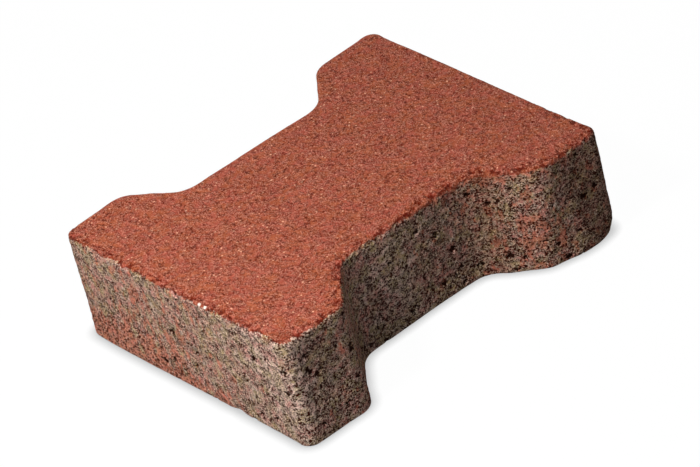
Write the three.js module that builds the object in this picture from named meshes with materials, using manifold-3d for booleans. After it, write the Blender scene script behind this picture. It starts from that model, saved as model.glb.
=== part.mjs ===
// Double-T interlocking paving stone, pressed from concrete in one piece.
//
// Millimetres, +Z up. The stone lies on its bed face, and the origin is the centre of that face.
// +X runs along the stone from one flared end to the other, and +Y across it.
//
// Stones are laid end to end in rows, and each row is shifted by half a stone, so the two flared
// ends that meet in one row sit in the waist of a stone in the next row. The outline follows from
// that: a flank and its neighbour in the next row stand one sand joint apart, all the way round.

import * as THREE from "three";
import { mergeVertices } from "three/addons/utils/BufferGeometryUtils.js";
import Module from "manifold-3d";

// Driving dimensions.
const LENGTH = 200; // from end face to end face
const FLARE_WIDTH = 163; // across the flared ends
const WAIST_WIDTH = 107; // across the narrow middle
const THICKNESS = 58; // bed face to wearing face
const JOINT = 3; // sand joint between laid stones
const FLANK_ANGLE = THREE.MathUtils.degToRad(52); // slope of a flank against the long axis
const CORNER_RADIUS = 6; // upright corners of the end faces
const SHOULDER_RADIUS = 13; // outer bend between a flare's side and its flank
const ARRIS_RADIUS = 1.5; // rounded upper edge, pressed by the tamper shoe

// Facets on each bend of the outline and on the arris.
const BEND_FACETS = 10;
const ARRIS_FACETS = 3;

const CONCRETE = { color: 0x9c5a45, roughness: 0.95, metalness: 0 };

const wasm = await Module();
wasm.setup();

// Where a flank crosses half its height. It is a quarter of the laying module from the middle of
// the stone, and a little more, so that the joint measured square to the sloping flank is JOINT.
function flankMiddle() {
  const layingModule = LENGTH + JOINT;
  return layingModule / 4 + (JOINT / 2) * Math.tan(FLANK_ANGLE / 2);
}

// The inner bend between a flank and the waist. The shoulder of a stone in the next row lies in
// it, one sand joint away all the way round the bend.
function hollowRadius() {
  return SHOULDER_RADIUS + JOINT;
}

// The outline's sharp corners in the +X +Y quarter, from the end face to the waist.
function quarterCorners() {
  const flankDepth = (FLARE_WIDTH - WAIST_WIDTH) / 2;
  const halfRun = flankDepth / 2 / Math.tan(FLANK_ANGLE);
  return [
    { x: LENGTH / 2, y: FLARE_WIDTH / 2, radius: CORNER_RADIUS },
    { x: flankMiddle() + halfRun, y: FLARE_WIDTH / 2, radius: SHOULDER_RADIUS },
    { x: flankMiddle() - halfRun, y: WAIST_WIDTH / 2, radius: hollowRadius() },
  ];
}

// All twelve corners, anticlockwise, by mirroring the quarter in both axes.
function outlineCorners() {
  const mirrored = (signX, signY) =>
    quarterCorners().map(({ x, y, radius }) => ({ x: signX * x, y: signY * y, radius }));
  return [
    ...mirrored(1, 1),
    ...mirrored(-1, 1).reverse(),
    ...mirrored(-1, -1),
    ...mirrored(1, -1).reverse(),
  ];
}

// Adds a corner to the shape as an arc that is tangent to both of its sides. The arc keeps within
// the half of each side that lies next to the corner, so that two bends never cross.
function addBend(shape, before, corner, after) {
  const at = new THREE.Vector2(corner.x, corner.y);
  const toBefore = new THREE.Vector2(before.x, before.y).sub(at);
  const toAfter = new THREE.Vector2(after.x, after.y).sub(at);
  const halfSide = Math.min(toBefore.length(), toAfter.length()) / 2;
  toBefore.normalize();
  toAfter.normalize();
  const halfAngle = Math.acos(toBefore.dot(toAfter)) / 2;
  const radius = Math.min(corner.radius, halfSide * Math.tan(halfAngle));
  const reach = radius / Math.tan(halfAngle);
  const bisector = toBefore.clone().add(toAfter).normalize();
  const centre = at.clone().addScaledVector(bisector, radius / Math.sin(halfAngle));
  const start = at.clone().addScaledVector(toBefore, reach).sub(centre).angle();
  const end = at.clone().addScaledVector(toAfter, reach).sub(centre).angle();
  const turnsRight = toBefore.cross(toAfter) > 0;
  shape.absarc(centre.x, centre.y, radius, start, end, turnsRight);
}

function stoneOutline() {
  const shape = new THREE.Shape();
  const corners = outlineCorners();
  corners.forEach((corner, i) => {
    const before = corners.at(i - 1);
    const after = corners[(i + 1) % corners.length];
    addBend(shape, before, corner, after);
  });
  shape.closePath();
  return shape;
}

// A closed three.js geometry as a manifold-3d solid.
function toSolid(geometry) {
  const bare = new THREE.BufferGeometry();
  bare.setAttribute("position", geometry.getAttribute("position"));
  if (geometry.index) bare.setIndex(geometry.index);
  const merged = mergeVertices(bare, 1e-4);
  return new wasm.Manifold(
    new wasm.Mesh({
      numProp: 3,
      vertProperties: merged.getAttribute("position").array,
      triVerts: new Uint32Array(merged.index.array),
    }),
  );
}

function toGeometry(solid) {
  const mesh = solid.getMesh();
  const geometry = new THREE.BufferGeometry();
  geometry.setAttribute("position", new THREE.BufferAttribute(mesh.vertProperties, 3));
  geometry.setIndex(new THREE.BufferAttribute(mesh.triVerts, 1));
  geometry.computeVertexNormals();
  return geometry;
}

// The outline pressed upwards, with its rounded arris at the wearing face. Its lower end carries
// the same round below the bed plane, where the cut takes it off. three.js puts two facets on an
// arc for each of its curve segments.
function pressedBlank() {
  const blank = new THREE.ExtrudeGeometry(stoneOutline(), {
    depth: THICKNESS,
    curveSegments: BEND_FACETS / 2,
    bevelEnabled: true,
    bevelThickness: ARRIS_RADIUS,
    bevelSize: ARRIS_RADIUS,
    bevelOffset: -ARRIS_RADIUS,
    bevelSegments: ARRIS_FACETS,
  });
  blank.translate(0, 0, -ARRIS_RADIUS);
  return toSolid(blank);
}

// Everything below the bed plane: the pallet that the fresh concrete is pressed against. It is
// thicker than the round that it takes off, and reaches past the stone all round.
function belowBed() {
  const margin = 2 * ARRIS_RADIUS;
  const pallet = new THREE.BoxGeometry(LENGTH + 2 * margin, FLARE_WIDTH + 2 * margin, margin);
  pallet.translate(0, 0, -margin / 2);
  return toSolid(pallet);
}

function pavingStone() {
  const solid = pressedBlank().subtract(belowBed());
  const stone = new THREE.Mesh(toGeometry(solid), new THREE.MeshStandardMaterial(CONCRETE));
  stone.name = "paving_stone";
  return stone;
}

const part = new THREE.Group();
part.add(pavingStone());

export default part;
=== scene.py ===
"""Looks of a double-T interlocking paving stone, pressed from concrete in one piece.

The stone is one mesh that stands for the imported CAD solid. Its grid follows the solid's outline
and rounded arris, a geometry-node tree presses the relief of pores, crevices and chipped edges
into it, and one concrete material carries the grit that is too fine for the grid. Lengths are in
millimetres, except where a comment says metres.
"""
import logging
import math
from collections.abc import Iterable
from dataclasses import dataclass
from enum import Enum
from functools import cached_property

import bpy
import numpy as np
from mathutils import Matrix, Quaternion, Vector
from mathutils.geometry import delaunay_2d_cdt
from mathutils.kdtree import KDTree


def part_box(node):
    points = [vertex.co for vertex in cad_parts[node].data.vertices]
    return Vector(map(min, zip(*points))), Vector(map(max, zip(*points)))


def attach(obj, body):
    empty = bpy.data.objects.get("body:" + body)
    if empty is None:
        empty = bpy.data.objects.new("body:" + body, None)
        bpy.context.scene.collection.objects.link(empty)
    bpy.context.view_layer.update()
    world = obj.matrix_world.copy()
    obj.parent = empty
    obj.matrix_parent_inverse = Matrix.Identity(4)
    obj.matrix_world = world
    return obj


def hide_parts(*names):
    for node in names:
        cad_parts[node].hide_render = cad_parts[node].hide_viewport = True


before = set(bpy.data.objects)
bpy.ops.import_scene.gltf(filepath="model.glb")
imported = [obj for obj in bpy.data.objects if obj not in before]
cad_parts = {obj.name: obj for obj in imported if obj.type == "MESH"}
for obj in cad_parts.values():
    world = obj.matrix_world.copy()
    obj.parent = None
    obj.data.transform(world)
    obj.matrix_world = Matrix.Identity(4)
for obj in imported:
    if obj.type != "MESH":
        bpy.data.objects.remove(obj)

Tree = bpy.types.NodeTree
Source = bpy.types.Node | bpy.types.NodeSocket  # a node stands for its first output
Pair = tuple[float, float]
Point = tuple[float, float, float]
Rows = np.ndarray

log = logging.getLogger("paving_stone")

MM = 0.001
WHITE = 0xFFFFFF
FROM = ("From Min", "From Max")
TO = ("To Min", "To Max")
CAD_NODE = "paving_stone"


def linear(colour: int) -> tuple[float, float, float, float]:
    """Turn an sRGB colour to the linear values that Blender's sockets take.

    Args:
        colour: The colour as 0xRRGGBB.

    Returns:
        Red, green, blue and an alpha of 1.
    """
    shares = [(colour >> shift & 0xFF) / 255 for shift in (16, 8, 0)]
    red, green, blue = (
        share / 12.92 if share <= 0.04045 else ((share + 0.055) / 1.055) ** 2.4
        for share in shares
    )
    return red, green, blue, 1.0


def add_node(
    tree: Tree,
    kind: str,
    inputs: dict | None = None,
    stops: Iterable[tuple[float, int]] = (),
    **settings,
) -> bpy.types.Node:
    """Add one node to a tree, with its settings, values and links.

    Args:
        tree: The shader or geometry tree that gets the node.
        kind: The node's type name, which may leave out the "ShaderNode" in front.
        inputs: For each input, by name or number, what to link to it or the value to set; for
            two inputs together, such as FROM, a pair of those.
        stops: For a colour ramp, the place and the sRGB colour of each stop.
        **settings: Properties of the node, such as its operation.

    Returns:
        The new node.
    """
    node = tree.nodes.new(kind if "Node" in kind else "ShaderNode" + kind)
    for name, value in settings.items():
        setattr(node, name, value)
    for names, values in (inputs or {}).items():
        for key, value in zip(names, values) if isinstance(names, tuple) else [(names, values)]:
            if isinstance(value, bpy.types.Node):
                value = value.outputs[0]
            if isinstance(value, bpy.types.NodeSocket):
                tree.links.new(value, node.inputs[key])
            else:
                node.inputs[key].default_value = value
    for index, (position, colour) in enumerate(stops):
        elements = node.color_ramp.elements
        element = elements[index] if index < len(elements) else elements.new(position)
        element.position = position
        element.color = linear(colour)
    return node


def empty_tree(owner: bpy.types.Material | bpy.types.World) -> Tree:
    """Give a material or the world a node tree with nothing in it.

    Args:
        owner: The material or the world.

    Returns:
        The tree.
    """
    owner.use_nodes = True
    owner.node_tree.nodes.clear()
    return owner.node_tree


def put(name: str, data: bpy.types.ID) -> bpy.types.Object:
    """Put a new object in the scene.

    Args:
        name: The object's name.
        data: Its mesh, lamp or camera.

    Returns:
        The object.
    """
    thing = bpy.data.objects.new(name, data)
    bpy.context.scene.collection.objects.link(thing)
    return thing


def bearing(side: float, rise: float) -> Vector:
    """Point from the stone towards a camera or a lamp.

    Args:
        side: Degrees round the stone; 0 is on the -Y side and 90 on the +X side.
        rise: Degrees up from the floor.

    Returns:
        The direction, of length 1.
    """
    turn = math.radians(side)
    lift = math.radians(rise)
    return Vector((math.sin(turn) * math.cos(lift), -math.cos(turn) * math.cos(lift), math.sin(lift)))


class Mark(Enum):
    """What the mesh remembers of the stone at each vertex, by the name of its attribute."""

    PLACE = "pressed_place"  # where the vertex lay before the relief, in mm
    FROM_EDGE = "from_edge"  # mm along the surface from the top arris, negative on the wearing face
    OPEN = "open_texture"  # 0 where the mix closed up tight, 1 where it stayed open and coarse
    PIGMENT = "pigment"  # how much red ran down or was left out, from -1 to 1; the pale patch at the near corner is painted light
    CHIPPED = "chipped"  # how badly the edges crumbled, from 0 to 1
    SOILED = "soiled"  # painted shade: how much darker the sides are painted, from 0 to 1


@dataclass(frozen=True)
class Patch:
    """A place on the stone that differs from the rest, fading out with distance."""

    centre: Point
    reach: Point  # where about a third of it is left
    amount: float


def total(patches: Iterable[Patch], places: Rows) -> Rows:
    """Add up what several patches do at each place.

    Args:
        patches: The patches.
        places: One row of x, y and z for each vertex, in mm.

    Returns:
        Their sum at each place.
    """
    acting = np.zeros(len(places))
    for patch in patches:
        away = (places - patch.centre) / patch.reach
        acting = acting + patch.amount * np.exp(-(away**2).sum(1))
    return acting


@dataclass(frozen=True)
class Surface:
    """A node tree with what it reads from the mesh, so that two trees can share one pattern."""

    tree: Tree
    place: Source
    layered: Source  # the place with heights stretched: pressing flattens the grains
    from_edge: Source
    open_texture: Source
    pigment: Source
    chipped: Source
    soiled: Source

    @classmethod
    def of(cls, tree: Tree) -> "Surface":
        """Read every mark of the mesh in a tree.

        Args:
            tree: A material's tree or a geometry tree.

        Returns:
            The surface.
        """
        marks = []
        for mark in Mark:
            vector = mark is Mark.PLACE
            if tree.type == "SHADER":
                node = add_node(tree, "Attribute", attribute_name=mark.value)
                marks.append(node.outputs["Vector" if vector else "Fac"])
            else:
                kind = "FLOAT_VECTOR" if vector else "FLOAT"
                name = {"Name": mark.value}
                node = add_node(tree, "GeometryNodeInputNamedAttribute", name, data_type=kind)
                marks.append(node.outputs["Attribute"])
        place, *numbers = marks
        stretch = (1.0, 1.0, 1.25)
        layered = add_node(tree, "VectorMath", {0: place, 1: stretch}, operation="MULTIPLY")
        return cls(tree, place, layered, *numbers)


@dataclass(frozen=True)
class Holes:
    """One kind of hole where the mix didn't close up."""

    size: float  # mm from one place that can have a hole to the next
    share: float  # the part of those places that has one, in mix that closed up tight
    opened: float  # how much more of them has one where the mix stayed open


@dataclass(frozen=True)
class PressedRelief(Surface):
    """Relief of a dry concrete mix pressed in a steel mould, in mm, positive outwards.

    The mesh and the material both read it, so that the painted shade of a void lies in its hollow. A
    window is the stretch of a noise over which the surface changes from one thing to another.
    Each property is a pattern that is built once in the tree, as soon as something asks for it.
    """

    turn: Pair = (-0.8, 2.4)  # from the arris: where face turns to side
    lump_size: float = 9.0
    lump_height: float = 0.3
    lump_on_face: float = 0.25  # its share on the wearing face
    grain_size: float = 2.8
    grain_height: float = 0.25
    grain_proud: float = 0.3
    grain_reach: float = 0.8  # in grain sizes, from its top to the gap
    patch_size: float = 2.6  # of the grainy mix and the smooth paste
    patch_window: Pair = (0.38, 0.62)
    face_size: float = 3.4
    face_height: float = 0.24
    void: Holes = Holes(3.6, 0.02, 0.08)
    void_depth: float = 1.0
    void_cluster: float = 10.0
    pore: Holes = Holes(1.25, 0.48, 0.1)
    pit: Holes = Holes(1.3, 0.12, 0.35)
    gathered: Pair = (0.4, 1.6)  # times the share, outside a cluster and in it
    rim: Pair = (0.56, 0.44)  # of a hole, in hole sizes from its middle
    ragged_grain: float = 1.6  # noise cells to a hole size, or mm at a lone void
    ragged_reach: float = 1.5  # how far they shift the rim, in hole sizes
    shallow: float = 0.95  # a hole's depth where the mix closed up tight
    opening: float = 0.4  # how open the mix is where it is full
    chip_size: float = 3.4
    chip_window: Pair = (0.49, 0.57)
    chip_depth: float = 1.0
    chip_inset: float = 1.2  # where the arris crumbles most, on the wearing face
    chip_reach: Pair = (3.8, 1.0)
    bed_margin: float = 2.5  # above the bed, where the relief runs out
    bed_share: float = 0.3  # what is left of it there
    lone_voids: tuple[tuple[float, ...], ...] = (  # x, y, z and radius
        (-91.8, -80.8, 45.5, 1.3),
        (-90.0, -81.2, 39.0, 1.6),
        (-88.4, -81.5, 37.0, 1.5),
        (-85.2, -81.5, 34.4, 1.5),
        (-83.0, -81.5, 35.6, 1.1),
        (-85.5, -81.5, 27.5, 1.0),
        (-72.0, -81.5, 41.0, 1.1),
        (62.6, -80.4, 24.6, 1.4),
        (63.0, -80.4, 14.5, 1.3),
        (62.8, -81.2, 44.0, 1.3),
    )
    lone_reach: float = 3.0  # how far their rims are shifted
    lone_rim: Pair = (1.15, 0.6)  # in radii

    @cached_property
    def sides(self) -> Source:
        """0 on the wearing face and 1 on the sides and the bed, with a short change at the arris."""
        inputs = {"Value": self.from_edge, FROM: self.turn}
        return add_node(self.tree, "MapRange", inputs, interpolation_type="SMOOTHSTEP")

    def drifting(self, size: float, span: dict[tuple[str, str], Pair]) -> Source:
        """Let something change slowly over the stone.

        Args:
            size: How far it is from one change to the next, in mm.
            span: The stretch that it is taken FROM, or that it is turned TO.

        Returns:
            From 0 to 1, or over that stretch.
        """
        pattern = {"Vector": self.place, "Scale": 1 / size, "Detail": 2.0}
        noise = add_node(self.tree, "TexNoise", pattern)
        return add_node(self.tree, "MapRange", {"Value": noise} | span)

    @cached_property
    def grainy(self) -> Source:
        """1 in the mix whose grains stand clear and 0 in the smooth paste between."""
        return self.drifting(self.patch_size, {FROM: self.patch_window})

    def fray(self, place: Source, scale: float, reach: float) -> Source:
        """Shift places about, so that what is drawn at them gets a ragged rim.

        Args:
            place: The place of each point, in mm.
            scale: How many times the shift changes in a millimetre.
            reach: The largest shift, in mm. Half of it is the mean, along all three axes.

        Returns:
            The shifted place.
        """
        shift = add_node(self.tree, "TexNoise", {"Vector": place, "Scale": scale, "Detail": 2.0})
        inputs = {0: shift.outputs["Color"], 1: (reach, reach, reach), 2: place}
        return add_node(self.tree, "VectorMath", inputs, operation="MULTIPLY_ADD")

    def holes(self, kind: Holes, cluster: Source) -> Source:
        """Find the holes where the mix didn't close up, ragged and in clusters.

        Args:
            kind: How large and how many they are.
            cluster: Where they gather, from 0 to 1.

        Returns:
            A mask, 1 in a hole.
        """
        tree = self.tree
        spread = tuple(times * kind.share for times in self.gathered)
        reach = self.ragged_reach * kind.size
        ragged = self.fray(self.layered, self.ragged_grain / kind.size, reach)
        cells = add_node(tree, "TexVoronoi", {"Vector": ragged, "Scale": 1 / kind.size})
        lot = add_node(tree, "SeparateXYZ", {0: cells.outputs["Color"]})
        loose = add_node(tree, "MapRange", {"Value": cluster, TO: spread})
        odds = {0: self.open_texture, 1: kind.opened, 2: loose}
        limit = add_node(tree, "Math", odds, operation="MULTIPLY_ADD")
        chosen = add_node(tree, "Math", {0: lot, 1: limit}, operation="LESS_THAN")
        inside = {"Value": cells.outputs["Distance"], FROM: self.rim}
        hollow = add_node(tree, "MapRange", inside, interpolation_type="SMOOTHSTEP")
        depth = {"Value": self.open_texture, "From Max": self.opening, TO: (self.shallow, 1.0)}
        deep = add_node(tree, "MapRange", depth)
        for part in (chosen, deep):
            hollow = add_node(tree, "Math", {0: hollow, 1: part}, operation="MULTIPLY")
        return hollow

    @cached_property
    def voids(self) -> Source:
        """1 in the wide voids of the sides, and in the few that lie alone."""
        tree = self.tree
        mask = self.holes(self.void, self.drifting(self.void_cluster, {FROM: self.patch_window}))
        ragged = self.fray(self.place, 1 / self.ragged_grain, self.lone_reach)
        for *centre, radius in self.lone_voids:
            middle = [mm + self.lone_reach / 2 for mm in centre]
            away = add_node(tree, "VectorMath", {0: ragged, 1: middle}, operation="DISTANCE")
            rim = tuple(times * radius for times in self.lone_rim)
            inside = {"Value": away.outputs["Value"], FROM: rim}
            lone = add_node(tree, "MapRange", inside, interpolation_type="SMOOTHSTEP")
            mask = add_node(tree, "Math", {0: mask, 1: lone}, operation="MAXIMUM")
        return mask

    @cached_property
    def pores(self) -> Source:
        """1 in the narrow pores of the sides."""
        return self.holes(self.pore, self.grainy)

    @cached_property
    def pits(self) -> Source:
        """1 in the pits of the wearing face."""
        return self.holes(self.pit, self.grainy)

    @cached_property
    def chips(self) -> Source:
        """1 where grains broke out of the top arris."""
        tree = self.tree
        pattern = {"Vector": self.place, "Scale": 1 / self.chip_size, "Detail": 3.0, "Roughness": 0.65}
        mix = add_node(tree, "TexNoise", pattern)
        away = add_node(tree, "Math", {0: self.from_edge, 1: self.chip_inset}, operation="ADD")
        apart = add_node(tree, "Math", {0: away}, operation="ABSOLUTE")
        broken, near = (
            add_node(tree, "MapRange", {"Value": value, FROM: span}, interpolation_type="SMOOTHSTEP")
            for value, span in ((mix, self.chip_window), (apart, self.chip_reach))
        )
        weak = add_node(tree, "Math", {0: near, 1: self.chipped}, operation="MULTIPLY")
        return add_node(tree, "Math", {0: broken, 1: weak}, operation="MULTIPLY")

    @cached_property
    def lump(self) -> Source:
        """The slow swells of the whole surface, in mm."""
        return self.drifting(self.lump_size, {TO: (-self.lump_height, self.lump_height)})

    @cached_property
    def rough_side(self) -> Source:
        """The height of the sides in mm: rounded grains, with voids between them."""
        tree = self.tree
        pattern = {"Vector": self.layered, "Scale": 1 / self.grain_size, "Smoothness": 0.6}
        grains = add_node(tree, "TexVoronoi", pattern, feature="SMOOTH_F1")
        rise = (self.grain_proud, self.grain_proud - self.grain_height)
        rounded = add_node(tree, "MapRange", {"Value": grains, "From Max": self.grain_reach, TO: rise})
        height = add_node(tree, "Math", {0: self.lump, 1: rounded}, operation="ADD")
        sunk = {0: self.voids, 1: -self.void_depth, 2: height}
        return add_node(tree, "Math", sunk, operation="MULTIPLY_ADD")

    @cached_property
    def sandy_face(self) -> Source:
        """The height of the wearing face in mm, a sandy dapple."""
        dapple = self.drifting(self.face_size, {TO: (-self.face_height, self.face_height)})
        inputs = {0: self.lump, 1: self.lump_on_face, 2: dapple}
        return add_node(self.tree, "Math", inputs, operation="MULTIPLY_ADD")

    def height(self, thickness: float) -> Source:
        """Add up the relief that the mesh is fine enough to hold.

        Args:
            thickness: The stone's thickness, in mm.

        Returns:
            The height over the pressed surface, in mm.
        """
        tree = self.tree
        both = {0: self.sides, 2: self.sandy_face, 3: self.rough_side}
        height = add_node(tree, "Mix", both, data_type="FLOAT")
        chipped = {0: self.chips, 1: -self.chip_depth, 2: height}
        height = add_node(tree, "Math", chipped, operation="MULTIPLY_ADD")
        low = (thickness - self.bed_margin, thickness)
        held = add_node(tree, "MapRange", {"Value": self.from_edge, FROM: low, TO: (1.0, self.bed_share)})
        return add_node(tree, "Math", {0: height, 1: held}, operation="MULTIPLY")


@dataclass(frozen=True)
class Speckle:
    """Light grains and dark gaps that lie over a colour: each grain's own tone, and painted shade where
    the grit is low.
    """

    gap: int
    gap_share: float
    grain: int
    grain_share: float
    full: float  # the tone, either way, that gives the full share
    start: float = 0.3  # of it, where they begin


@dataclass(frozen=True)
class PigmentedConcrete(PressedRelief):
    """Earth-dry concrete with iron-oxide red in it, pressed in a steel mould.

    The wearing face is dense and evenly red, dull, with a sandy grain. On the sides the pigment
    shows only in streaks, and the mix is grey-brown and open, with sand and chippings in view.
    The mineral surface is rough all over, so there is no gloss, and its hollows are painted darker than
    its grains, as painted shade. Lengths are in mm, a window is the stretch of a pattern over which a
    colour changes, and a share is how much of a colour is blended in at most.
    """

    red_paste: int = 0xA8563E
    red_brown: int = 0x9E4E38
    red_ochre: int = 0xA85C36
    red_rose: int = 0xB0564C
    # painted shade of the pits and chips of the wearing face
    red_hollow: int = 0x601002
    bare_sand: int = 0xF0B494
    pale_paste: int = 0xFFDAC8
    beige_paste: int = 0xCCA286
    brown_paste: int = 0xCA9A84
    rosy: int = 0xDE987A
    olive: int = 0xBCA272
    violet: int = 0xD48E82
    # the colour that multiplies the sides where painted shade darkens them
    painted_shade_film: int = 0xCCC2B8
    red_streak: int = 0xDE7C60
    pale_stone: int = 0xE6D4C4
    dark_stone: int = 0x6E5446
    # painted shade of the pores and voids of the sides
    pore_dark: int = 0x451204
    void_dark: int = 0x2E1005
    limestone: int = 0xF6E6DA
    red_speckle: Speckle = Speckle(0x7A1F08, 0.64, 0xE29A82, 0.69, 1.15)
    side_speckle: Speckle = Speckle(0x3C1A0C, 0.95, 0xFFE2CA, 1.0, 1.3)
    roughness: float = 0.95
    ior: float = 1.5
    specular: float = 0.06
    chippings: float = 4.0
    chipping_rim: Pair = (0.42, 0.3)
    chipping_share: float = 0.6
    bare_gap: float = 1.8  # between the places that can have a bare grain
    bare_odds: float = 0.1  # the part of them that has one
    bare_rim: Pair = (0.32, 0.2)
    grit_size: float = 0.6  # quarter-millimetre sand drawn coarser, so that it shows
    sand_size: float = 0.45  # the same
    grain_tones: Pair = (-1.6, 1.6)  # from the darkest grain to the lightest
    grit_window: Pair = (0.36, 0.64)
    grit_tones: Pair = (-1.1, 1.1)
    face_bump: float = 0.32  # that the sand stands up
    side_bump: float = 0.5  # that it stands up on the sides
    pit_depth: float = 0.4
    pore_depth: float = 0.6
    clouds: float = 9.0  # of the red paste
    cloud_stops: Pair = (0.38, 0.6)
    drift: float = 7.0  # of its tints
    drift_window: Pair = (0.38, 0.62)
    tint_size: Pair = (9, 11)  # along the side and down it
    tint_stops: tuple[float, ...] = (0.3, 0.42, 0.52, 0.66)
    tint_pull: float = 0.3  # of a pigment patch on the tint
    streak_size: Pair = (4.5, 8)  # the same way
    streak_pull: float = 0.35  # of a pigment patch on the streaks
    streak_window: Pair = (0.585, 0.655)
    streak_shares: Pair = (0.4, 0.42)  # under the sand and over it
    showing_range: Pair = (0.45, 1.6)  # in smooth and in grainy mix
    showing_open: float = 0.5  # how much more where the mix stayed open
    red_run: float = 0.9  # how far the red runs over the arris
    red_wander: float = 2.0  # that this varies, either way
    wander_size: float = 5.0
    wander_window: Pair = (0.3, 0.7)
    red_end: Pair = (0.4, 0.9)
    grain_radius: Pair = (1.15, 0.75)  # of a pale grain: its rim and its full white
    pale_grains: tuple[Point, ...] = ((-99.5, -21.3, 57.5), (-99.5, -25.4, 57.6))

    @classmethod
    def material(cls) -> bpy.types.Material:
        """Make the material.

        Returns:
            The material.
        """
        material = bpy.data.materials.new("pigmented_pressed_concrete")
        cls.of(empty_tree(material)).shade()
        return material

    def shade(self) -> None:
        """Fill the material's tree: the colour, the relief too fine for the mesh and the finish."""
        tree = self.tree
        brown = self.brown_side
        # painted shade: the pores and voids take a dark colour where shade falls in them
        for mask, dark in ((self.pores, self.pore_dark), (self.voids, self.void_dark)):
            brown = self.blend(brown, dark, mask)
        both = {0: self.red_reach, 6: brown, 7: self.red_face}
        colour = add_node(tree, "Mix", both, data_type="RGBA").outputs[2]
        # painted shade in the chipped hollows along the top arris
        colour = self.blend(colour, self.red_hollow, self.chips, most=0.85)
        for centre in self.pale_grains:
            away = add_node(tree, "VectorMath", {0: self.place, 1: centre}, operation="DISTANCE")
            grain = add_node(tree, "MapRange", {"Value": away.outputs["Value"], FROM: self.grain_radius})
            colour = self.blend(colour, self.limestone, grain)
        heights = []
        face = (self.face_bump, self.pits, self.pit_depth)
        side = (self.side_bump, self.pores, self.pore_depth)
        for up, holes, down in (face, side):
            grain = add_node(tree, "MapRange", {"Value": self.sand, TO: (up, 0.0)})
            uneven = add_node(tree, "Math", {0: self.grit, 1: 2 * up, 2: grain}, operation="MULTIPLY_ADD")
            shown = add_node(tree, "Math", {0: uneven, 1: self.showing}, operation="MULTIPLY")
            sunk = {0: holes, 1: -down, 2: shown}
            heights.append(add_node(tree, "Math", sunk, operation="MULTIPLY_ADD"))
        both = {0: self.sides, 2: heights[0], 3: heights[1]}
        height = add_node(tree, "Mix", both, data_type="FLOAT")
        bump = add_node(tree, "Bump", {"Height": height, "Distance": MM, "Strength": 1.0})
        matt = {"Roughness": self.roughness, "IOR": self.ior, "Specular IOR Level": self.specular}
        shader = add_node(tree, "BsdfPrincipled", {"Base Color": colour, "Normal": bump} | matt)
        add_node(tree, "OutputMaterial", {"Surface": shader})

    @cached_property
    def grit(self) -> Source:
        """A noise as fine as the sand."""
        pattern = {"Scale": 1 / self.grit_size, "Detail": 3.0, "Roughness": 0.65}
        return add_node(self.tree, "TexNoise", {"Vector": self.layered} | pattern)

    @cached_property
    def sand(self) -> Source:
        """How far each place lies from the middle of its sand grain."""
        return add_node(self.tree, "TexVoronoi", {"Vector": self.layered, "Scale": 1 / self.sand_size})

    @cached_property
    def showing(self) -> Source:
        """How much of the sand shows: little where the paste is smooth, 1 and over elsewhere."""
        strength = add_node(self.tree, "MapRange", {"Value": self.grainy, TO: self.showing_range})
        inputs = {0: self.open_texture, 1: self.showing_open, 2: strength}
        return add_node(self.tree, "Math", inputs, operation="MULTIPLY_ADD")

    @cached_property
    def tone(self) -> Source:
        """From about -1 on a dark sand grain to 1 on a light one, and nearer to 0 in smooth paste."""
        lot = add_node(self.tree, "SeparateXYZ", {0: self.sand.outputs["Color"]}).outputs[2]
        grain = add_node(self.tree, "MapRange", {"Value": lot, TO: self.grain_tones})
        # the grit part is painted shade: where the grit lowers the bump, the colour darkens too
        span = {FROM: self.grit_window, TO: self.grit_tones}
        uneven = add_node(self.tree, "MapRange", {"Value": self.grit} | span)
        both = add_node(self.tree, "Math", {0: grain, 1: uneven}, operation="ADD")
        return add_node(self.tree, "Math", {0: both, 1: self.showing}, operation="MULTIPLY")

    def blend(self, colour: Source, other: int, mask: Source, most: float = 1.0) -> Source:
        """Blend one flat colour into another where a mask says so.

        Args:
            colour: The colour so far.
            other: The colour to blend in, as 0xRRGGBB.
            mask: Where it comes in, from 0 to 1.
            most: The share that it has where the mask is 1.

        Returns:
            The blended colour.
        """
        share = add_node(self.tree, "Math", {0: mask, 1: most}, operation="MULTIPLY")
        inputs = {0: share, 6: colour, 7: linear(other)}
        return add_node(self.tree, "Mix", inputs, data_type="RGBA").outputs[2]

    def mottle(self, colour: Source, others: tuple[int, int], most: float) -> Source:
        """Let a colour drift in cloudy patches to two others that are as light as it is.

        Args:
            colour: The colour so far.
            others: The colours that it drifts to, as 0xRRGGBB.
            most: The share that they have at most.

        Returns:
            The mottled colour.
        """
        tree = self.tree
        pattern = {"Vector": self.place, "Scale": 1 / self.drift, "Detail": 2.0}
        clouds = add_node(tree, "TexNoise", pattern)
        drift = add_node(tree, "SeparateXYZ", {0: clouds.outputs["Color"]}).outputs[1]
        for full, other in zip(self.drift_window, others):
            mask = add_node(tree, "MapRange", {"Value": drift, FROM: (0.5, full)})
            colour = self.blend(colour, other, mask, most)
        return colour

    @cached_property
    def bare_grains(self) -> Source:
        """1 on the few sand grains that lie bare on the wearing face."""
        tree = self.tree
        cells = add_node(tree, "TexVoronoi", {"Vector": self.place, "Scale": 1 / self.bare_gap})
        lot = add_node(tree, "SeparateXYZ", {0: cells.outputs["Color"]})
        chosen = add_node(tree, "Math", {0: lot, 1: self.bare_odds}, operation="LESS_THAN")
        grain = add_node(tree, "MapRange", {"Value": cells, FROM: self.bare_rim})
        return add_node(tree, "Math", {0: chosen, 1: grain}, operation="MULTIPLY")

    def speckle(self, colour: Source, kind: Speckle) -> Source:
        """Lay light grains and dark gaps over a colour.

        Args:
            colour: The colour so far.
            kind: Their colours and shares.

        Returns:
            The speckled colour.
        """
        sides = ((-kind.full, kind.gap, kind.gap_share), (kind.full, kind.grain, kind.grain_share))
        for limit, other, most in sides:
            window = (kind.start * limit, limit)
            mask = add_node(self.tree, "MapRange", {"Value": self.tone, FROM: window})
            colour = self.blend(colour, other, mask, most)
        return colour

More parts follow.
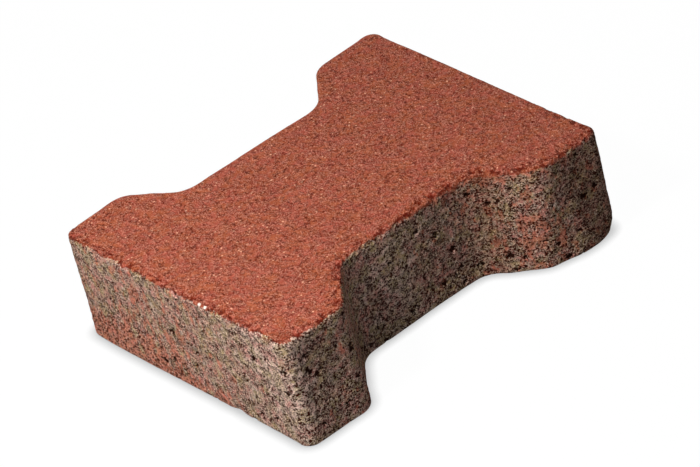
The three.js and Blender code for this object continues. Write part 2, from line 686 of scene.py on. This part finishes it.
    @cached_property
    def red_face(self) -> Source:
        """The colour of the red paste, with its light sand grains and its pits."""
        tree = self.tree
        pattern = {"Vector": self.place, "Scale": 1 / self.clouds, "Detail": 4.0, "Roughness": 0.6}
        clouds = add_node(tree, "TexNoise", pattern)
        pastes = zip(self.cloud_stops, (self.red_brown, self.red_paste))
        colour = add_node(tree, "ValToRGB", {0: clouds}, pastes)
        colour = self.mottle(colour, (self.red_ochre, self.red_rose), most=0.4)
        colour = self.speckle(colour, self.red_speckle)
        # painted shade in the pits
        colour = self.blend(colour, self.red_hollow, self.pits, most=0.75)
        return self.blend(colour, self.bare_sand, self.bare_grains, most=0.85)

    def drawn(self, size: Pair, pull: float, detail: float, roughness: float) -> Source:
        """Make a noise that the mould drew out down the sides, and that pigment patches raise.

        Args:
            size: How far it reaches along the side and down it, in mm.
            pull: How much a full pigment patch adds.
            detail: How many finer noises are added to it.
            roughness: How strong each of them is against the one before.

        Returns:
            The noise.
        """
        along, down = size
        scale = (1 / along, 1 / along, 1 / down)
        drawn = add_node(self.tree, "Mapping", {"Vector": self.place, "Scale": scale})
        pattern = {"Vector": drawn, "Scale": 1.0, "Detail": detail, "Roughness": roughness}
        noise = add_node(self.tree, "TexNoise", pattern)
        return add_node(self.tree, "Math", {0: self.pigment, 1: pull, 2: noise}, operation="MULTIPLY_ADD")

    @cached_property
    def brown_side(self) -> Source:
        """The grey-brown colour of the sides, with the tints that the mould drew down them."""
        tree = self.tree
        tint = self.drawn(self.tint_size, self.tint_pull, detail=4.0, roughness=0.6)
        pastes = (self.pale_paste, self.beige_paste, self.brown_paste, self.rosy)
        colour = add_node(tree, "ValToRGB", {0: tint}, zip(self.tint_stops, pastes))
        colour = self.mottle(colour, (self.olive, self.violet), most=0.85)
        colour = self.lay_chippings(colour)
        streak = self.drawn(self.streak_size, self.streak_pull, detail=3.0, roughness=0.5)
        inputs = {"Value": streak, FROM: self.streak_window}
        stained = add_node(tree, "MapRange", inputs, interpolation_type="SMOOTHSTEP")
        under, over = self.streak_shares
        colour = self.blend(colour, self.red_streak, stained, under)
        smooth = add_node(tree, "MapRange", {"Value": self.grainy, FROM: (1.0, 0.0)})
        colour = self.blend(colour, self.side_speckle.gap, smooth, most=0.05)
        colour = self.speckle(colour, self.side_speckle)
        colour = self.blend(colour, self.red_streak, stained, over)
        # painted shade: multiply the sides darker over the bend into the hollow, the flank and the far
        # flare
        film = {0: self.soiled, 6: colour, 7: linear(self.painted_shade_film)}
        return add_node(tree, "Mix", film, data_type="RGBA", blend_type="MULTIPLY").outputs[2]

    def lay_chippings(self, colour: Source) -> Source:
        """Let a few chippings show in the sides, dark ones and pale ones.

        Args:
            colour: The colour of the mix round them.

        Returns:
            The colour with the chippings.
        """
        tree = self.tree
        stones = add_node(tree, "TexVoronoi", {"Vector": self.place, "Scale": 1 / self.chippings})
        kind = add_node(tree, "SeparateXYZ", {0: stones.outputs["Color"]}).outputs[1]
        bare = add_node(tree, "MapRange", {"Value": stones, FROM: self.chipping_rim})
        for lots, stone in (((0.08, 0.06), self.dark_stone), ((0.9, 0.92), self.pale_stone)):
            chosen = add_node(tree, "MapRange", {"Value": kind, FROM: lots})
            shown = add_node(tree, "Math", {0: chosen, 1: bare}, operation="MULTIPLY")
            colour = self.blend(colour, stone, shown, self.chipping_share)
        return colour

    @cached_property
    def red_reach(self) -> Source:
        """1 where the surface is red, as far as a ragged line over the arris."""
        tree = self.tree
        pattern = {"Vector": self.place, "Scale": 1 / self.wander_size, "Detail": 4.0, "Roughness": 0.65}
        wander = add_node(tree, "TexNoise", pattern)
        reach = (self.red_run - self.red_wander, self.red_run + self.red_wander)
        run = add_node(tree, "MapRange", {"Value": wander, FROM: self.wander_window, TO: reach})
        for part, mm in ((self.pigment, 3.0), (self.grit, 1.2)):
            run = add_node(tree, "Math", {0: part, 1: mm, 2: run}, operation="MULTIPLY_ADD")
        left = add_node(tree, "Math", {0: run, 1: self.from_edge}, operation="SUBTRACT")
        inputs = {"Value": left, FROM: self.red_end}
        return add_node(tree, "MapRange", inputs, interpolation_type="SMOOTHSTEP")


@dataclass
class PavingStone:
    """The stone itself, one pressed piece over the CAD solid.

    Its patches say where the stone is worn (swollen, if below 0), open, red, darkened with painted shade
    or chipped.
    """

    thickness: float
    grid: float = 0.81  # from one vertex to the next on the sides
    face_grid: float = 1.2
    bed_grid: float = 3.0
    clear: float = 0.55  # of the grid, between a ring and what it holds
    arris: float = 1.5
    arris_steps: int = 4
    bed_arris: float = 0.7
    bed_steps: int = 2
    margin_rings: int = 2
    margin: float = 0.8  # of the grid, from one margin ring to the next
    loose_below: float = 0.2  # how open the mix is at the bed
    chipped_everywhere: float = 0.05
    wear_patches: tuple[Patch, ...] = (
        Patch((66, -81, 0), (8, 8, 34), 2.8),
        Patch((98, -80, 0), (6, 6, 5), 2.4),
        Patch((100, -80, 38), (6, 8, 22), -1.0),
        Patch((-100, 80, 12), (7, 9, 16), 0.5),
        Patch((-100, 81, 36), (7, 8, 40), 0.3),
        Patch((100, 54, 58), (4, 64, 50), -1.3),
        Patch((0, -53.5, 0), (40, 4, 24), 1.8),
        Patch((-6, 53.5, 58), (44, 5, 60), -2.0),
        Patch((62, 67, 58), (6, 10, 60), 0.8),
        Patch((-80, 81.5, 58), (30, 4, 60), -0.8),
        Patch((-68, 81, 58), (9, 6, 60), -0.9),
        Patch((-54.5, 70, 58), (6, 6, 60), -0.7),
        Patch((-32, 53.5, 58), (13, 6, 60), -1.3),
        Patch((0, 53.5, 58), (50, 5, 60), -0.8),
        Patch((84, 81.5, 58), (24, 5, 60), -0.8),
        Patch((98, 80, 58), (6, 8, 60), -0.8),
        Patch((100, 0, 0), (4, 120, 22), -1.6),
        Patch((-100, 50, 0), (4, 50, 24), -0.9),
        Patch((-82, -81.5, 0), (24, 5, 22), -1.5),
        Patch((-65, -80.5, 0), (8, 6, 24), -1.3),
        Patch((-31, -53, 0), (10, 4, 22), 0.9),
        Patch((-100, -31.5, 0), (5, 3.5, 4), 1.0),
        Patch((41.5, -56, 29), (9, 9, 90), -0.6),
        Patch((46.5, -62.5, 0), (7, 8, 24), -1.1),
        Patch((86, -81.5, 0), (15, 5, 24), -0.9),
    )
    open_patches: tuple[Patch, ...] = (
        Patch((-80, -83, 24), (14, 6, 40), 0.3),
        Patch((6, -53.5, 20), (32, 5, 50), 0.2),
        Patch((90, -83, 20), (17, 6, 40), 0.6),
        Patch((54, -68, 24), (15, 13, 60), 0.1),
        Patch((-100, -62, 18), (8, 24, 34), 0.25),
    )
    pigment_and_light_patches: tuple[Patch, ...] = (
        Patch((-100, 76, 4), (8, 16, 12), 0.9),
        Patch((-100, 48, 4), (8, 36, 26), 0.42),
        Patch((-100, 22, -4), (8, 60, 13), 0.8),
        # painted light: a paler tint that lightens the end face beside the near corner and the corner
        # itself
        Patch((-100, -72, 36), (14, 30, 34), -0.9),
        Patch((-101, 1, 29), (4, 3, 10), 0.6),
        Patch((-101, 10.5, 20), (4, 3, 8), 0.6),
        Patch((-101, 34, 38), (4, 3.5, 8), 0.6),
        Patch((-101, -78.8, 45), (5, 3, 5), 1.0),
        Patch((-101, -57, 25), (5, 3, 6), 0.9),
        Patch((-17, -53.5, 30), (22, 6, 40), -0.6),
        Patch((56, -73, 16), (9, 9, 18), 0.3),
        Patch((-94, -80, 58), (8, 6, 4), -0.25),
        Patch((64, -68, 20), (13, 16, 40), 0.2),
        Patch((26, -62, 58), (66, 24, 6), 0.6),
    )
    # painted shade: darker over the bend into the hollow, the flank and the far flare
    painted_shade_patches: tuple[Patch, ...] = (
        Patch((44, -58, 29), (10, 9, 80), 1.0),
        Patch((58, -74, 29), (12, 10, 80), 0.4),
        Patch((90, -83, 20), (20, 6, 60), 0.6),
    )
    chip_patches: tuple[Patch, ...] = (
        Patch((-100, 0, 58), (8, 110, 6), 1.6),
        Patch((0, -70, 58), (110, 26, 6), 1.8),
        Patch((88, -80, 58), (20, 8, 6), 0.5),
    )

    def outline(self) -> Rows:
        """Read the stone's outline from the bed face of its CAD solid.

        Returns:
            The corners of the outline, anticlockwise, in mm.
        """
        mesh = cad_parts[CAD_NODE].data
        sides = set()
        for polygon in mesh.polygons:
            if polygon.normal.z < -0.99:  # it faces down
                ends = [mesh.vertices[i].co[:2] for i in polygon.vertices]
                corners = [tuple(round(metres / MM, 3) for metres in end) for end in ends]
                sides.update(zip(corners, corners[1:] + corners[:1]))
        after = {end: start for start, end in sides if (end, start) not in sides}
        walk = [min(after)]
        while after[walk[-1]] != walk[0]:
            walk.append(after[walk[-1]])
        return np.array(walk)

    def evenly(self, outline: Rows) -> tuple[Rows, Rows]:
        """Set points along the outline, one grid step apart.

        Args:
            outline: The outline's corners.

        Returns:
            The points, and the outward direction at each.
        """
        closed = np.vstack([outline, outline[:1]])
        steps = np.hypot(*np.diff(closed, axis=0).T)
        along = np.concatenate([[0.0], np.cumsum(steps)])
        count = round(along[-1] / self.grid)
        at = np.linspace(0.0, along[-1], count, endpoint=False)
        points = np.column_stack([np.interp(at, along, closed[:, axis]) for axis in (0, 1)])
        tangent = np.roll(points, -1, axis=0) - np.roll(points, 1, axis=0)
        outward = np.column_stack([tangent[:, 1], -tangent[:, 0]])
        return points, outward / np.hypot(*outward.T)[:, None]

    def courses(self) -> list[Point]:
        """List the rings of vertices from the bed face, up the side and round the arris.

        Returns:
            For each ring its inset from the outline, its height and its distance from the arris.
        """
        thickness = self.thickness
        insets = (self.bed_grid, self.bed_grid / 2)
        rings = [(self.bed_arris + inset, 0.0, thickness + inset) for inset in insets]
        for step in range(self.bed_steps):
            turn = math.pi / 2 * step / self.bed_steps
            inset = self.bed_arris * (1 - math.sin(turn))
            height = self.bed_arris * (1 - math.cos(turn))
            rings.append((inset, height, thickness - height))
        straight = thickness - self.arris - self.bed_arris
        count = round(straight / self.grid)
        for step in range(count):
            height = self.bed_arris + straight * step / count
            rings.append((0.0, height, thickness - height))
        for step in range(self.arris_steps + 1):
            turn = math.pi / 2 * step / self.arris_steps
            inset = self.arris * (1 - math.cos(turn))
            height = thickness - self.arris * (1 - math.sin(turn))
            rings.append((inset, height, self.arris * (math.pi / 4 - turn)))
        for ring in range(1, self.margin_rings + 1):
            inset = ring * self.grid * self.margin
            rings.append((self.arris + inset, thickness, -self.arris * math.pi / 4 - inset))
        return rings

    def cap(self, ring: Rows, outward: Rows, spacing: float) -> tuple[Rows, Rows, list]:
        """Fill one flat face inside a ring of vertices with even triangles.

        Args:
            ring: The ring's points.
            outward: The outward direction at each.
            spacing: How far apart the vertices stand.

        Returns:
            The points inside the ring, how far each lies from it, and the triangles over the
            ring's points and then those.
        """
        row = spacing * math.sqrt(3) / 2
        reach = np.abs(ring).max(0)
        rows = int(reach[1] / row) + 1
        columns = int(reach[0] / spacing) + 1
        tree = KDTree(len(ring))
        for index, (x, y) in enumerate(ring):
            tree.insert((x, y, 0.0), index)
        tree.balance()
        inner = []
        away = []
        for j in range(-rows, rows + 1):
            shift = spacing / 2 * (j % 2)
            for i in range(-columns, columns + 1):
                point = (i * spacing + shift, j * row, 0.0)
                near, index, distance = tree.find(point)
                out = outward[index]
                inside = (near.x - point[0]) * out[0] + (near.y - point[1]) * out[1]
                if distance > spacing * self.clear and inside > 0:
                    inner.append(point[:2])
                    away.append(distance)
        count = len(ring)
        corners = [Vector(point) for point in ring] + [Vector(point) for point in inner]
        border = [(index, (index + 1) % count) for index in range(count)]
        filled, tolerance = 1, 1e-6
        triangles = delaunay_2d_cdt(corners, border, [], filled, tolerance)[2]
        return np.array(inner), np.array(away), triangles

    def blank(self) -> bpy.types.Object:
        """Build the stone with smooth faces, as the mould shaped it, with its marks.

        Returns:
            The stone's object, not yet roughened.
        """
        points, outward = self.evenly(self.outline())
        around = len(points)
        courses = self.courses()
        layers = []
        for inset, height, _ in courses:
            worn = total(self.wear_patches, np.column_stack([points, np.full(around, height)]))
            ring = points - outward * (inset + worn)[:, None]
            layers.append(np.column_stack([ring, np.full(around, height)]))
        from_edge = [np.full(around, distance) for _, _, distance in courses]
        top_ring = (len(courses) - 1) * around
        faces = []
        for course in range(len(courses) - 1):
            low = course * around
            for i in range(around):
                j = (i + 1) % around
                faces.append((low + i, low + j, low + around + j, low + around + i))
        for ring, spacing, height, upward in (
            (top_ring, self.face_grid, self.thickness, True),
            (0, self.bed_grid, 0.0, False),
        ):
            edge_points = layers[ring // around][:, :2]
            inner, away, triangles = self.cap(edge_points, outward, spacing)
            start = sum(len(layer) for layer in layers)
            for triangle in triangles:
                corners = [ring + i if i < around else start + i - around for i in triangle]
                faces.append(corners if upward else corners[::-1])
            layers.append(np.column_stack([inner, np.full(len(inner), height)]))
            edge_distance = courses[ring // around][2]
            from_edge.append(edge_distance - away if upward else edge_distance + away)
        places = np.vstack(layers)
        mesh = bpy.data.meshes.new("pressed_stone")
        mesh.from_pydata(places * MM, [], faces)
        self.mark(mesh, places, np.concatenate(from_edge))
        mesh.shade_smooth()
        return put("pressed_stone", mesh)

    def mark(self, mesh: bpy.types.Mesh, places: Rows, from_edge: Rows) -> None:
        """Write down at each vertex where it lies and what the mix is like there.

        Args:
            mesh: The stone's mesh.
            places: Where its vertices lie, in mm.
            from_edge: How far each lies from the top arris.
        """
        place = mesh.attributes.new(Mark.PLACE.value, "FLOAT_VECTOR", "POINT")
        place.data.foreach_set("vector", places.astype(np.float32).ravel())
        looser = self.loose_below * np.clip(from_edge / self.thickness, 0, 1)
        numbers = {
            Mark.FROM_EDGE: from_edge,
            Mark.OPEN: np.clip(looser + total(self.open_patches, places), 0, 1),
            Mark.PIGMENT: np.clip(total(self.pigment_and_light_patches, places), -1, 1),
            Mark.CHIPPED: np.clip(self.chipped_everywhere + total(self.chip_patches, places), 0, 1),
            Mark.SOILED: np.clip(total(self.painted_shade_patches, places), 0, 1),
        }
        for mark, values in numbers.items():
            attribute = mesh.attributes.new(mark.value, "FLOAT", "POINT")
            attribute.data.foreach_set("value", values.astype(np.float32))

    def roughen(self, stone: bpy.types.Object) -> None:
        """Press the relief into the blank, and keep the result as its mesh.

        Args:
            stone: The blank.
        """
        tree = bpy.data.node_groups.new("press_relief", "GeometryNodeTree")
        for way in ("INPUT", "OUTPUT"):
            tree.interface.new_socket("Geometry", in_out=way, socket_type="NodeSocketGeometry")
        shape = add_node(tree, "NodeGroupInput")
        normal = add_node(tree, "GeometryNodeInputNormal")
        height = PressedRelief.of(tree).height(self.thickness)
        metres = add_node(tree, "Math", {0: height, 1: MM}, operation="MULTIPLY")
        offset = add_node(tree, "VectorMath", {"Vector": normal, "Scale": metres}, operation="SCALE")
        moved = add_node(tree, "GeometryNodeSetPosition", {"Geometry": shape, "Offset": offset})
        add_node(tree, "NodeGroupOutput", {0: moved})
        stone.modifiers.new("press_relief", "NODES").node_group = tree
        graph = bpy.context.evaluated_depsgraph_get()
        rough = bpy.data.meshes.new_from_object(
            stone.evaluated_get(graph), preserve_all_data_layers=True, depsgraph=graph
        )
        stone.modifiers.clear()
        stone.data = rough

    def build(self) -> bpy.types.Object:
        """Make the stone, dress it and set it in place of its CAD solid.

        Returns:
            The stone's object.
        """
        stone = self.blank()
        self.roughen(stone)
        stone.data.materials.append(PigmentedConcrete.material())
        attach(stone, "root")
        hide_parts(CAD_NODE)
        return stone


@dataclass(frozen=True)
class SoftLamp:
    """A round soft lamp aimed at the stone."""

    name: str
    side: float  # degrees, as in bearing
    rise: float
    distance: float  # m
    size: float  # m
    level: float  # how white a white card at the stone renders when it faces the lamp
    colour: int = WHITE

    def build(self) -> None:
        """Hang the lamp."""
        light = bpy.data.lights.new(self.name, "AREA")
        light.shape = "DISK"
        light.size = self.size
        light.energy = math.pi**2 * self.distance**2 * self.level
        light.color = linear(self.colour)[:3]
        lamp = put(self.name, light)
        toward = bearing(self.side, self.rise)
        lamp.location = toward * self.distance
        lamp.rotation_euler = toward.to_track_quat("Z", "Y").to_euler()


@dataclass
class Studio:
    """A white sweep of floor, one lamp from the upper left, two white cards and a low even light."""

    lamps: tuple[SoftLamp, ...] = (
        SoftLamp("lamp", -79.0, 53.5, 0.8, 0.12, 1.11),
        SoftLamp("white_card", -30.0, 12.0, 0.5, 0.3, 0.12, 0xECF1FF),
        SoftLamp("back_card", 140.0, 12.0, 0.5, 0.3, 0.2),
    )
    ambient: float = 0.158
    floor_size: float = 6.0  # m
    floor_tone: int = 0x6A6663  # what the floor throws back on the stone
    cast_share: float = 0.015  # how much of the cast shadow is seen
    contact_reach: float = 0.006  # m, round the stone
    contact_start: float = 0.5  # open sky left where it is darkest
    contact_tone: float = 0.6
    contact_samples: int = 8

    def direct_view(self, tree: Tree) -> Source:
        """Tell the rays that see the background from those that only light the stone.

        Args:
            tree: The tree to build in.

        Returns:
            A mask, 1 for camera, glossy and transmission rays.
        """
        path = add_node(tree, "LightPath")
        seen = path.outputs["Is Camera Ray"]
        for name in ("Is Glossy Ray", "Is Transmission Ray"):
            seen = add_node(tree, "Math", {0: seen, 1: path.outputs[name]}, operation="MAXIMUM")
        return seen

    def floor(self) -> None:
        """Lay the floor: white to the eye with the stone's shadow on it, and plain to the light."""
        half = self.floor_size / 2
        mesh = bpy.data.meshes.new("floor")
        corners = [(-half, -half, 0), (half, -half, 0), (half, half, 0), (-half, half, 0)]
        mesh.from_pydata(corners, [], [(0, 1, 2, 3)])
        floor = put("floor", mesh)
        material = bpy.data.materials.new("white_sweep")
        tree = empty_tree(material)
        plain = add_node(tree, "BsdfDiffuse", {"Color": linear(self.floor_tone)})
        lit = add_node(tree, "BsdfDiffuse", {"Color": linear(WHITE)})
        reach = {"Distance": self.contact_reach}
        contact = add_node(tree, "AmbientOcclusion", reach, samples=self.contact_samples)
        open_sky = {"Value": contact.outputs["AO"], "From Min": self.contact_start}
        tone = add_node(tree, "MapRange", open_sky | {"To Min": self.contact_tone})
        white = add_node(tree, "Emission", {"Color": linear(WHITE), "Strength": tone})
        sweep = add_node(tree, "MixShader", {0: self.cast_share, 1: white, 2: lit})
        both = add_node(tree, "MixShader", {0: self.direct_view(tree), 1: plain, 2: sweep})
        add_node(tree, "OutputMaterial", {"Surface": both})
        mesh.materials.append(material)

    def air(self) -> None:
        """Surround the stone with white to the eye and a low even light."""
        world = bpy.data.worlds.new("studio")
        bpy.context.scene.world = world
        tree = empty_tree(world)
        level = {"Value": self.direct_view(tree), TO: (self.ambient, 1.0)}
        strength = add_node(tree, "MapRange", level)
        light = add_node(tree, "Background", {"Color": linear(WHITE), "Strength": strength})
        add_node(tree, "OutputWorld", {"Surface": light})

    def build(self) -> None:
        """Set up the floor, the air and the lamps."""
        self.floor()
        self.air()
        for lamp in self.lamps:
            lamp.build()


@dataclass
class StudioCamera:
    """A long lens that looks down on the stone from over its near left corner, tilted a little."""

    side: float = -33.67  # degrees, as in bearing
    rise: float = 33.64
    tilt: float = 14.11  # degrees
    distance: float = 1.9252  # m
    lens: float = 207.9
    sensor: float = 36.0
    far: float = 20.0  # m
    aim: Point = (2.58, -3.0, 27.4)

    def build(self) -> None:
        """Make the camera and give it to the scene."""
        lens = bpy.data.cameras.new("studio_camera")
        lens.lens = self.lens
        lens.sensor_width = self.sensor
        lens.clip_end = self.far
        camera = put("studio_camera", lens)
        back = bearing(self.side, self.rise)
        camera.location = Vector(self.aim) * MM + back * self.distance
        turned = back.to_track_quat("Z", "Y") @ Quaternion((0, 0, 1), -math.radians(self.tilt))
        camera.rotation_euler = turned.to_euler()
        bpy.context.scene.camera = camera


def main() -> None:
    """Build the camera, the studio and the stone."""
    logging.basicConfig(level=logging.INFO, format="%(name)s: %(message)s")
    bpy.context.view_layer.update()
    bpy.context.scene.view_settings.view_transform = "Standard"
    StudioCamera().build()
    Studio().build()
    low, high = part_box(CAD_NODE)
    stone = PavingStone((high.z - low.z) / MM).build()
    triangles = sum(len(polygon.vertices) - 2 for polygon in stone.data.polygons)
    log.info("%s: %d vertices, %d triangles", stone.name, len(stone.data.vertices), triangles)


if __name__ == "__main__":
    main()
